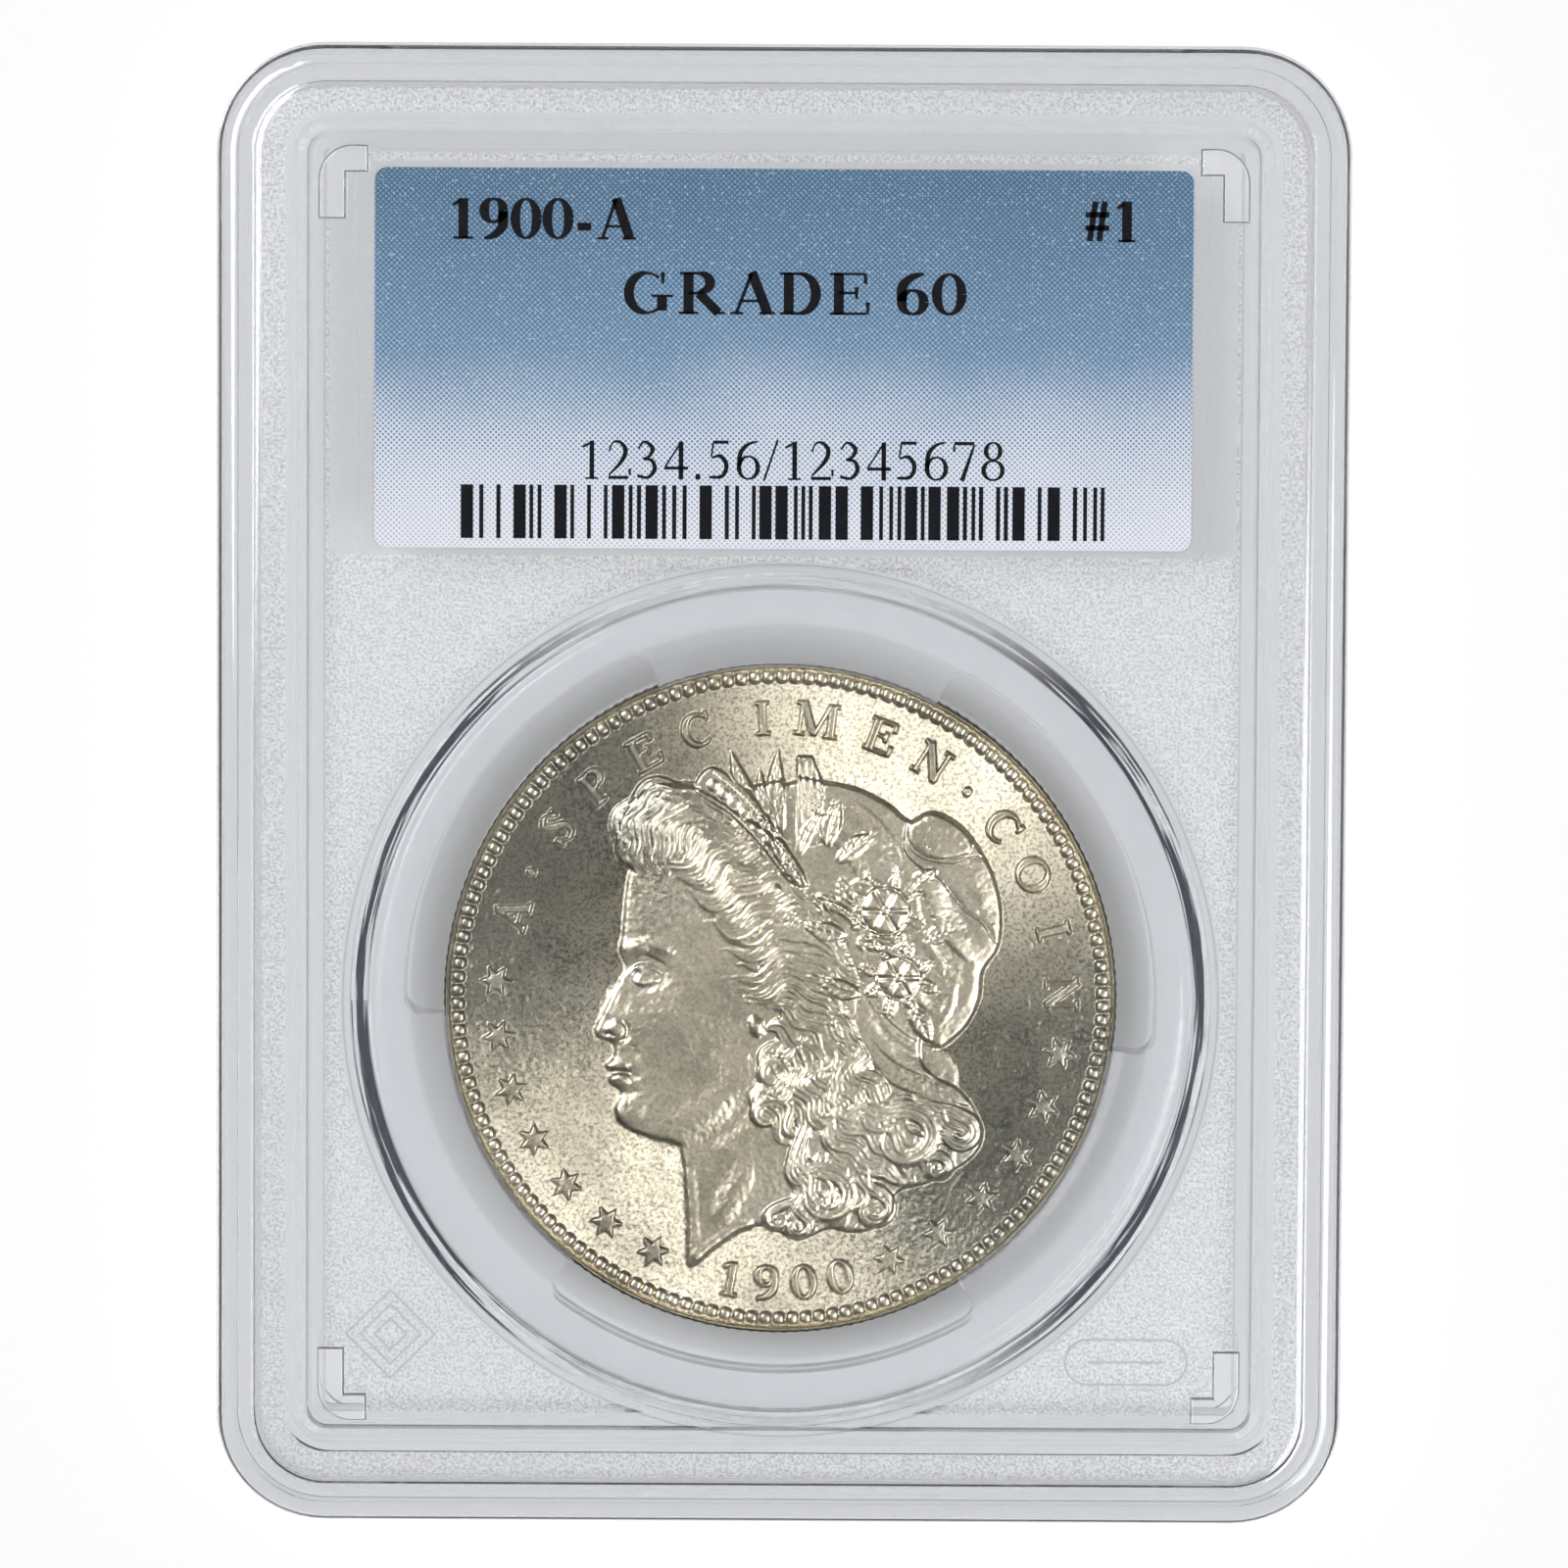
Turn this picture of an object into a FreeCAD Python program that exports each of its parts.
"""Graded coin slab: a one-dollar size silver coin sealed with its printed label in a welded clear holder.

The holder lies on its back. X runs across the label, Y runs from the coin up to the label, and Z points out
of the front window. The origin is the middle of the back resting face. All sizes are in millimetres.

Two clear half shells telescope at the rim like a box and its lid, and are welded along an inner rib and
round the coin well. The coin sits in a soft clear ring that drops into the round well; the label insert is
a sandwich of two printed cards round a contactless tag, and rests on a ledge close behind the front window.
"""
import FreeCAD
import Part

import math
import os
from FreeCAD import Vector

# ---- driving dimensions -------------------------------------------------------------------------------
SLAB_WIDTH = 63.5
SLAB_HEIGHT = 83.2
SLAB_THICKNESS = 8.6
CORNER_RADIUS = 6.2

COIN_RADIUS = 19.05
COIN_THICKNESS = 2.4
COIN_Y = -12.1

LABEL_WIDTH = 45.9
LABEL_HEIGHT = 21.3
LABEL_Y = 24.0

# ---- rim: distances are measured inwards from the slab's outer edge -------------------------------------
EDGE_ROUND = 1.15
SKIRT_IN = 1.16
TONGUE_OUT = 1.22
TONGUE_IN = 2.20
GROOVE_IN = 2.26
RECESS_TOP_IN = 2.15
RECESS_FLOOR_IN = 2.50
FOOT_IN = 2.80
FOOT_DRAFT = 0.12
WELD_RIB_OUT = 4.20
WELD_RIB_IN = 5.00
GUIDE_RIB_OUT = 5.15
GUIDE_RIB_IN = 5.90
SMALLEST_CORNER = 0.30
RIB_CLEARANCE = 0.10

# ---- levels, upwards from the back resting face ---------------------------------------------------------
FOOT_TOP = 0.60
BACK_PLATE_TOP = 2.00
BACK_EDGE_TOP = 4.25
FRONT_EDGE_BOTTOM = 4.30
WELD_BOTTOM = 3.90
WELD_TOP = 4.00
GUIDE_TOP = 5.20
FRONT_PLATE_BOTTOM = 5.90
TONGUE_TOP = 6.44
GROOVE_TOP = 6.50
FIELD_TOP = 7.80
PARTING_CHAMFER = 0.12
RECESS_ROUND = 0.18

# ---- round coin well -------------------------------------------------------------------------------------
WELL_RADIUS = 23.45
WELL_DRAFT = 0.10
FRONT_WALL_OUT = 24.22
BACK_WALL_IN = 24.36
BACK_WALL_OUT = 24.90
WELL_WELD_THICKNESS = 0.10
WELL_WELD_INNER = 23.75
WELL_WELD_OUTER = 24.05

# ---- coin ring -------------------------------------------------------------------------------------------
RING_CLEARANCE = 0.10
RING_END_CLEARANCE = 0.10
RING_EDGE_ROUND = 0.80
COIN_CLEARANCE = 0.05
LIP_REACH = 0.25
LIP_THICKNESS = 0.45
LIP_FLARE = 0.90
WINDOW_RADIUS = 21.25
WINDOW_COUNT = 3
WINDOW_SPAN_DEG = 71.0
WINDOW_FIRST_DEG = 27.0
WINDOW_CORNER = 1.0

# ---- coin ------------------------------------------------------------------------------------------------
RIM_WIDTH = 0.40
RIM_HEIGHT = 0.40
COIN_EDGE_CHAMFER = 0.12

# ---- label insert ----------------------------------------------------------------------------------------
CARD_CORNER = 0.7
CARD_THICKNESS = 0.20
FRONT_CARD_TOP = 5.80
TAG_FILM_THICKNESS = 0.08
ANTENNA_THICKNESS = 0.04
GLUE_GAP = 0.01
TAG_WIDTH = 30.0
TAG_HEIGHT = 15.0
ANTENNA_TURNS = 5
ANTENNA_PITCH = 0.8
ANTENNA_TRACK = 0.4
ANTENNA_MARGIN = 0.8
CHIP_SIZE = 0.9
CHIP_THICKNESS = 0.14
CHIP_POCKET_PLAY = 0.1
SEAL_THICKNESS = 0.05
SEAL_WIDTH = 15.0
SEAL_HEIGHT = 11.0
SEAL_X = 12.0
SEAL_CORNER = 1.2
POCKET_PLAY = 0.08
POCKET_WALL = 0.92
LEDGE_WIDTH = 1.0
LEDGE_TOP = 5.25
POCKET_TOP = 5.84

# ---- stacking keys at the four corners, and the moulded marks ------------------------------------------------
KEY_IN = 5.75
KEY_ARM = 1.5
KEY_LONG = 4.1
KEY_SHORT = 2.75
KEY_CORNER = 1.9
KEY_HEIGHT = 0.50
KEY_ROUND = 0.15
KEY_SOCKET_PLAY = 0.20
KEY_SOCKET_DEPTH = 0.62
MARK_HEIGHT = 0.06
MARK_LINE = 0.14
LOZENGE_X = -21.9
LOZENGE_Y = -31.0
LOZENGE_SIZES = (2.6, 1.8, 1.0)
CARTOUCHE_X = 19.6
CARTOUCHE_Y = -32.4
CARTOUCHE_WIDTH = 7.0
CARTOUCHE_HEIGHT = 2.7

EPS = 0.5
COIN_CENTRE = Vector(0, COIN_Y, 0)
UP = Vector(0, 0, 1)


# ---- shape helpers -------------------------------------------------------------------------------------------
def rounded_wire(width, height, radius, z, x=0.0, y=0.0):
    """A rounded rectangle about (x, y) at level z."""
    hw = width / 2
    hh = height / 2
    edges = []
    corners = ((1, 1), (-1, 1), (-1, -1), (1, -1))
    ends = []
    for i, (sx, sy) in enumerate(corners):
        cx = x + sx * (hw - radius)
        cy = y + sy * (hh - radius)
        start = math.radians(90 * i)
        points = []
        for step in (0, 1, 2):
            a = start + math.radians(45 * step)
            points.append(Vector(cx + radius * math.cos(a), cy + radius * math.sin(a), z))
        edges.append(Part.Arc(*points).toShape())
        ends.append((points[0], points[2]))
    for i in range(4):
        edges.append(Part.LineSegment(ends[i][1], ends[(i + 1) % 4][0]).toShape())
    return Part.Wire(Part.__sortEdges__(edges))


def rounded_prism(width, height, radius, z0, z1, x=0.0, y=0.0):
    return Part.Face(rounded_wire(width, height, radius, z0, x, y)).extrude(UP * (z1 - z0))


def slab_wire(inset, z):
    """The slab's outline moved inwards by inset."""
    radius = max(CORNER_RADIUS - inset, SMALLEST_CORNER)
    return rounded_wire(SLAB_WIDTH - 2 * inset, SLAB_HEIGHT - 2 * inset, radius, z)


def slab_prism(inset, z0, z1):
    return Part.Face(slab_wire(inset, z0)).extrude(UP * (z1 - z0))


def slab_taper(inset0, z0, inset1, z1):
    return Part.makeLoft([slab_wire(inset0, z0), slab_wire(inset1, z1)], True, True)


def slab_frame(outer_inset, inner_inset, z0, z1):
    return slab_prism(outer_inset, z0, z1).cut(slab_prism(inner_inset, z0 - EPS, z1 + EPS))


def disc(radius, z0, z1):
    return Part.makeCylinder(radius, z1 - z0, COIN_CENTRE + UP * z0)


def annulus(inner, outer, z0, z1):
    return disc(outer, z0, z1).cut(disc(inner, z0 - EPS, z1 + EPS))


def turned(profile):
    """The solid that a closed (radius, z) profile sweeps round the coin's axis."""
    points = [Vector(r, COIN_Y, z) for r, z in profile]
    face = Part.Face(Part.makePolygon(points + points[:1]))
    return face.revolve(COIN_CENTRE, UP, 360)


def edges_at(shape, z, test):
    """The edges that lie wholly at level z and whose middle passes the test."""
    found = []
    for edge in shape.Edges:
        box = edge.BoundBox
        if abs(box.ZMin - z) < 1e-4 and abs(box.ZMax - z) < 1e-4 and test(edge.CenterOfMass):
            found.append(edge)
    return found


def inset_of(point):
    """How far a point on the straight or curved part of an outline lies inside the slab's edge."""
    dx = SLAB_WIDTH / 2 - abs(point.x)
    dy = SLAB_HEIGHT / 2 - abs(point.y)
    return min(dx, dy)


def key_solid(sx, sy, z0, z1, play=0.0):
    """One L-shaped stacking key in the corner on the sx, sy side, grown by play all round."""
    long_arm = KEY_LONG + 2 * play
    short_arm = KEY_SHORT + 2 * play
    arm = KEY_ARM + 2 * play
    x = SLAB_WIDTH / 2 - KEY_IN + play
    y = SLAB_HEIGHT / 2 - KEY_IN + play
    vertical = Part.makeBox(arm, long_arm, z1 - z0, Vector(x - arm, y - long_arm, z0))
    horizontal = Part.makeBox(short_arm, arm, z1 - z0, Vector(x - short_arm, y - arm, z0))
    solid = vertical.fuse(horizontal).removeSplitter()
    corner = [e for e in solid.Edges if abs(e.BoundBox.XMin - x) < 1e-4 and abs(e.BoundBox.YMin - y) < 1e-4
              and abs(e.BoundBox.XMax - x) < 1e-4 and abs(e.BoundBox.YMax - y) < 1e-4]
    solid = solid.makeFillet(KEY_CORNER, corner)
    if sx < 0:
        solid = solid.mirror(Vector(0, 0, 0), Vector(1, 0, 0))
    if sy < 0:
        solid = solid.mirror(Vector(0, 0, 0), Vector(0, 1, 0))
    return solid


def rounded_key(sx, sy, z0, z1):
    """A key whose top edges are rounded; z0 may lie inside the plate that it stands on."""
    solid = key_solid(sx, sy, z0, z1)
    return solid.makeFillet(KEY_ROUND, edges_at(solid, z1, lambda p: True))


def all_corners():
    return [(sx, sy) for sx in (-1, 1) for sy in (-1, 1)]


# ---- moulded marks ---------------------------------------------------------------------------------------------
def lozenge_line(half_diagonal, z0, z1):
    """A diamond outline, half a line wide on each side of its path."""
    def diamond(size):
        points = [Vector(LOZENGE_X + size * dx, LOZENGE_Y + size * dy, z0) for dx, dy in
                  ((1, 0), (0, 1), (-1, 0), (0, -1), (1, 0))]
        return Part.Face(Part.makePolygon(points)).extrude(UP * (z1 - z0))

    return diamond(half_diagonal).cut(diamond(half_diagonal - MARK_LINE * math.sqrt(2)))


def cartouche_line(z0, z1):
    """A stadium outline with a bar along its middle."""
    radius = CARTOUCHE_HEIGHT / 2 - 1e-3
    outer = rounded_prism(CARTOUCHE_WIDTH, CARTOUCHE_HEIGHT, radius, z0, z1, CARTOUCHE_X, CARTOUCHE_Y)
    inner = rounded_prism(CARTOUCHE_WIDTH - 2 * MARK_LINE, CARTOUCHE_HEIGHT - 2 * MARK_LINE,
                          radius - MARK_LINE, z0 - EPS, z1 + EPS, CARTOUCHE_X, CARTOUCHE_Y)
    bar = Part.makeBox(CARTOUCHE_WIDTH - CARTOUCHE_HEIGHT, MARK_LINE, z1 - z0,
                       Vector(CARTOUCHE_X - (CARTOUCHE_WIDTH - CARTOUCHE_HEIGHT) / 2,
                              CARTOUCHE_Y - MARK_LINE / 2, z0))
    return outer.cut(inner).fuse(bar)


def moulded_marks():
    z0 = FIELD_TOP - 0.1
    z1 = FIELD_TOP + MARK_HEIGHT
    lines = [lozenge_line(size, z0, z1) for size in LOZENGE_SIZES]
    lines.append(cartouche_line(z0, z1))
    return lines


# ---- the two half shells ------------------------------------------------------------------------------------------
def front_shell():
    """The lid: skirt, plate, hanging weld rib and well wall, with the recess and its stacking keys on top."""
    shell = slab_prism(0, FRONT_EDGE_BOTTOM, SLAB_THICKNESS)
    shell = shell.makeFillet(EDGE_ROUND, edges_at(shell, SLAB_THICKNESS, lambda p: True))
    shell = shell.makeChamfer(PARTING_CHAMFER, edges_at(shell, FRONT_EDGE_BOTTOM, lambda p: True))
    recess = slab_taper(RECESS_FLOOR_IN, FIELD_TOP, RECESS_TOP_IN, SLAB_THICKNESS)
    shell = shell.cut(recess)
    recess_edges = edges_at(shell, FIELD_TOP, lambda p: inset_of(p) > RECESS_TOP_IN)
    recess_edges += edges_at(shell, SLAB_THICKNESS, lambda p: inset_of(p) > RECESS_TOP_IN - 0.3)
    shell = shell.makeFillet(RECESS_ROUND, recess_edges)
    shell = shell.cut(slab_prism(SKIRT_IN, FRONT_EDGE_BOTTOM - EPS, FRONT_PLATE_BOTTOM))
    shell = shell.cut(slab_frame(SKIRT_IN, GROOVE_IN, FRONT_PLATE_BOTTOM - EPS, GROOVE_TOP))

    plate_join = FRONT_PLATE_BOTTOM + 0.2
    wall_bottom = BACK_PLATE_TOP + WELL_WELD_THICKNESS
    well_wall = turned(((WELL_RADIUS, plate_join), (WELL_RADIUS + WELL_DRAFT, wall_bottom),
                        (FRONT_WALL_OUT - WELL_DRAFT, wall_bottom), (FRONT_WALL_OUT, plate_join)))
    added = [slab_frame(WELD_RIB_OUT, WELD_RIB_IN, WELD_TOP, plate_join), well_wall]
    added += [rounded_key(sx, sy, FIELD_TOP - 0.3, FIELD_TOP + KEY_HEIGHT) for sx, sy in all_corners()]
    added += moulded_marks()
    return shell.fuse(added).removeSplitter()


def label_pocket():
    """The wall round the label insert with the ledge that it rests on, standing on the back plate."""
    z0 = BACK_PLATE_TOP - 0.2
    inner_w = LABEL_WIDTH + 2 * POCKET_PLAY
    inner_h = LABEL_HEIGHT + 2 * POCKET_PLAY
    wall = rounded_prism(inner_w + 2 * POCKET_WALL, inner_h + 2 * POCKET_WALL, CARD_CORNER + POCKET_WALL,
                         z0, POCKET_TOP, 0, LABEL_Y)
    well = rounded_prism(inner_w, inner_h, CARD_CORNER, LEDGE_TOP, POCKET_TOP + EPS, 0, LABEL_Y)
    under = rounded_prism(inner_w - 2 * LEDGE_WIDTH, inner_h - 2 * LEDGE_WIDTH, CARD_CORNER,
                          z0 - EPS, POCKET_TOP + EPS, 0, LABEL_Y)
    return wall.cut(well).cut(under)


def back_shell():
    """The tray: edge wall with its tongue, plate and foot, ribs, well wall, label pocket and key sockets."""
    shell = slab_prism(0, FOOT_TOP, BACK_EDGE_TOP)
    shell = shell.makeFillet(EDGE_ROUND, edges_at(shell, FOOT_TOP, lambda p: True))
    shell = shell.makeChamfer(PARTING_CHAMFER, edges_at(shell, BACK_EDGE_TOP, lambda p: True))
    shell = shell.fuse(slab_taper(FOOT_IN + FOOT_DRAFT, 0, FOOT_IN, FOOT_TOP + 0.1)).removeSplitter()
    shell = shell.makeFillet(RECESS_ROUND, edges_at(shell, 0, lambda p: True))
    shell = shell.cut(slab_prism(TONGUE_IN, BACK_PLATE_TOP, BACK_EDGE_TOP + EPS))

    z0 = BACK_PLATE_TOP - 0.2
    back_wall = turned(((BACK_WALL_IN, z0), (BACK_WALL_IN, GUIDE_TOP),
                        (BACK_WALL_OUT - WELL_DRAFT, GUIDE_TOP), (BACK_WALL_OUT, z0)))
    front_rib_room = slab_frame(WELD_RIB_OUT - RIB_CLEARANCE, WELD_RIB_IN + RIB_CLEARANCE,
                                WELD_BOTTOM, GUIDE_TOP + EPS)
    guide_rib = slab_frame(GUIDE_RIB_OUT, GUIDE_RIB_IN, z0, GUIDE_TOP)
    shell = shell.fuse([
        slab_frame(TONGUE_OUT, TONGUE_IN, BACK_EDGE_TOP - 0.2, TONGUE_TOP),
        slab_frame(WELD_RIB_OUT, WELD_RIB_IN, z0, WELD_BOTTOM),
        guide_rib.cut(disc(BACK_WALL_IN, z0 - EPS, GUIDE_TOP + EPS)),
        label_pocket(),
        back_wall.cut(front_rib_room),
    ])
    for sx, sy in all_corners():
        shell = shell.cut(key_solid(sx, sy, -EPS, KEY_SOCKET_DEPTH, KEY_SOCKET_PLAY))
    return shell.removeSplitter()


def perimeter_weld():
    """The fused bead that joins the two weld ribs."""
    middle = (WELD_RIB_OUT + WELD_RIB_IN) / 2
    half = (WELD_RIB_IN - WELD_RIB_OUT) / 4
    return slab_frame(middle - half, middle + half, WELD_BOTTOM, WELD_TOP)


def well_weld():
    """The fused bead under the front shell's well wall."""
    return annulus(WELL_WELD_INNER, WELL_WELD_OUTER, BACK_PLATE_TOP, BACK_PLATE_TOP + WELL_WELD_THICKNESS)


# ---- coin and its ring ---------------------------------------------------------------------------------------------
def coin_levels():
    """The coin's lower and upper faces: it lies midway between the two plates."""
    middle = (BACK_PLATE_TOP + FRONT_PLATE_BOTTOM) / 2
    return middle - COIN_THICKNESS / 2, middle + COIN_THICKNESS / 2


def coin():
    """The blank: a disc with a raised rim on both faces."""
    low, high = coin_levels()
    blank = disc(COIN_RADIUS, low, high)
    ends = edges_at(blank, low, lambda p: True) + edges_at(blank, high, lambda p: True)
    blank = blank.makeChamfer(COIN_EDGE_CHAMFER, ends)
    field = COIN_RADIUS - RIM_WIDTH
    blank = blank.cut(disc(field, high - RIM_HEIGHT, high + EPS))
    return blank.cut(disc(field, low - EPS, low + RIM_HEIGHT))


def ring_window(middle_deg, z0, z1):
    """One arc-shaped opening between two prongs, with rounded outer corners."""
    reach = WINDOW_RADIUS * 2
    half = math.radians(WINDOW_SPAN_DEG / 2)
    middle = math.radians(middle_deg)
    sides = [Vector(reach * math.cos(middle + s * half), COIN_Y + reach * math.sin(middle + s * half), z0)
             for s in (-1, 0, 1)]
    centre = COIN_CENTRE + UP * z0
    wedge = Part.Face(Part.makePolygon([centre] + sides + [centre])).extrude(UP * (z1 - z0))
    window = wedge.common(disc(WINDOW_RADIUS, z0, z1))
    outer = [e for e in window.Edges if e.BoundBox.ZLength > 1
             and (e.CenterOfMass - COIN_CENTRE).cross(UP).Length > WINDOW_RADIUS / 2]
    return window.makeFillet(WINDOW_CORNER, outer)


def coin_ring():
    """The soft ring: a groove grips the coin's edge on three prongs, and three windows show the edge."""
    low, high = coin_levels()
    z0 = BACK_PLATE_TOP + RING_END_CLEARANCE
    z1 = FRONT_PLATE_BOTTOM - RING_END_CLEARANCE
    outer = WELL_RADIUS - RING_CLEARANCE
    grip = COIN_RADIUS + COIN_CLEARANCE
    lip = COIN_RADIUS - LIP_REACH
    flare = COIN_RADIUS + LIP_FLARE
    ring = turned(((outer, z0), (outer, z1), (flare, z1),
                   (lip, high + COIN_CLEARANCE + LIP_THICKNESS), (lip, high + COIN_CLEARANCE),
                   (grip, high + COIN_CLEARANCE), (grip, low - COIN_CLEARANCE),
                   (lip, low - COIN_CLEARANCE), (lip, low - COIN_CLEARANCE - LIP_THICKNESS),
                   (flare, z0)))
    far = [e for z in (z0, z1) for e in edges_at(ring, z, lambda p: True) if e.BoundBox.XMax > outer - 0.01]
    ring = ring.makeFillet(RING_EDGE_ROUND, far)
    for i in range(WINDOW_COUNT):
        middle = WINDOW_FIRST_DEG + 360.0 * i / WINDOW_COUNT
        ring = ring.cut(ring_window(middle, z0 - EPS, z1 + EPS))
    return ring


# ---- label insert ----------------------------------------------------------------------------------------------------
def card(z0):
    return rounded_prism(LABEL_WIDTH, LABEL_HEIGHT, CARD_CORNER, z0, z0 + CARD_THICKNESS, 0, LABEL_Y)


def front_label():
    return card(FRONT_CARD_TOP - CARD_THICKNESS)


def tag_levels():
    """The tag film's lower and upper faces; the antenna and the chip are on the lower one."""
    top = FRONT_CARD_TOP - CARD_THICKNESS
    return top - TAG_FILM_THICKNESS, top


def back_card_bottom():
    return tag_levels()[0] - ANTENNA_THICKNESS - GLUE_GAP - CARD_THICKNESS


def back_label():
    """The back card, with a small pocket that the tag's chip sinks into."""
    side = CHIP_SIZE + 2 * CHIP_POCKET_PLAY
    floor = tag_levels()[0] - CHIP_THICKNESS - GLUE_GAP
    pocket = Part.makeBox(side, side, EPS, Vector(chip_centre() - side / 2, LABEL_Y - side / 2, floor))
    return card(back_card_bottom()).cut(pocket)


def tag_film():
    low, high = tag_levels()
    return rounded_prism(TAG_WIDTH, TAG_HEIGHT, CARD_CORNER, low, high, 0, LABEL_Y)


def antenna_turn(turn, z0, z1):
    """One turn of the antenna, joined to the next by a short step on the left side."""
    width = TAG_WIDTH - 2 * (ANTENNA_MARGIN + turn * ANTENNA_PITCH)
    height = TAG_HEIGHT - 2 * (ANTENNA_MARGIN + turn * ANTENNA_PITCH)
    radius = max(1.5 - 0.2 * turn, ANTENNA_TRACK + 0.1)
    loop = rounded_prism(width, height, radius, z0, z1, 0, LABEL_Y)
    loop = loop.cut(rounded_prism(width - 2 * ANTENNA_TRACK, height - 2 * ANTENNA_TRACK,
                                  radius - ANTENNA_TRACK, z0 - EPS, z1 + EPS, 0, LABEL_Y))
    gap = Part.makeBox(ANTENNA_TRACK * 2, ANTENNA_PITCH, z1 - z0 + 2 * EPS,
                       Vector(-width / 2 - ANTENNA_TRACK / 2, LABEL_Y - ANTENNA_PITCH / 2, z0 - EPS))
    loop = loop.cut(gap)
    if turn == ANTENNA_TURNS - 1:
        return [loop]
    left = -width / 2
    step = Part.makePolygon([
        Vector(left, LABEL_Y - ANTENNA_PITCH / 2, z0),
        Vector(left + ANTENNA_TRACK, LABEL_Y - ANTENNA_PITCH / 2, z0),
        Vector(left + ANTENNA_TRACK + ANTENNA_PITCH, LABEL_Y + ANTENNA_PITCH / 2, z0),
        Vector(left + ANTENNA_PITCH, LABEL_Y + ANTENNA_PITCH / 2, z0),
        Vector(left, LABEL_Y - ANTENNA_PITCH / 2, z0),
    ])
    return [loop, Part.Face(step).extrude(UP * (z1 - z0))]


def chip_centre():
    """The chip lies beside the antenna's innermost turn, at its open end."""
    inner_half = TAG_WIDTH / 2 - ANTENNA_MARGIN - (ANTENNA_TURNS - 1) * ANTENNA_PITCH - ANTENNA_TRACK
    return -inner_half + CHIP_SIZE


def tag_antenna():
    """An aluminium spiral on the film, with a short lead to the chip's place."""
    low = tag_levels()[0]
    z0 = low - ANTENNA_THICKNESS
    pieces = []
    for turn in range(ANTENNA_TURNS):
        pieces += antenna_turn(turn, z0, low)
    lead_end = chip_centre() - CHIP_SIZE / 2
    lead_start = -(TAG_WIDTH / 2 - ANTENNA_MARGIN - (ANTENNA_TURNS - 1) * ANTENNA_PITCH)
    lead = Part.makeBox(lead_end - lead_start, ANTENNA_TRACK, ANTENNA_THICKNESS,
                        Vector(lead_start, LABEL_Y - ANTENNA_PITCH / 2 - ANTENNA_TRACK, z0))
    pieces.append(lead)
    return pieces[0].fuse(pieces[1:]).removeSplitter()


def tag_chip():
    low = tag_levels()[0]
    return Part.makeBox(CHIP_SIZE, CHIP_SIZE, CHIP_THICKNESS,
                        Vector(chip_centre() - CHIP_SIZE / 2, LABEL_Y - CHIP_SIZE / 2, low - CHIP_THICKNESS))


def hologram_seal():
    """The foil seal on the back card."""
    top = back_card_bottom()
    return rounded_prism(SEAL_WIDTH, SEAL_HEIGHT, SEAL_CORNER, top - SEAL_THICKNESS, top, SEAL_X, LABEL_Y)


NODES = {
    "front_shell": front_shell,
    "back_shell": back_shell,
    "perimeter_weld": perimeter_weld,
    "well_weld": well_weld,
    "coin_ring": coin_ring,
    "coin": coin,
    "front_label": front_label,
    "back_label": back_label,
    "tag_film": tag_film,
    "tag_antenna": tag_antenna,
    "tag_chip": tag_chip,
    "hologram_seal": hologram_seal,
}


def main():
    os.makedirs("parts", exist_ok=True)
    for name, build in NODES.items():
        shape = build()
        print(name, "valid", shape.isValid(), "solids", len(shape.Solids), "volume", round(shape.Volume, 3))
        shape.exportStep("parts/" + name + ".step")


main()
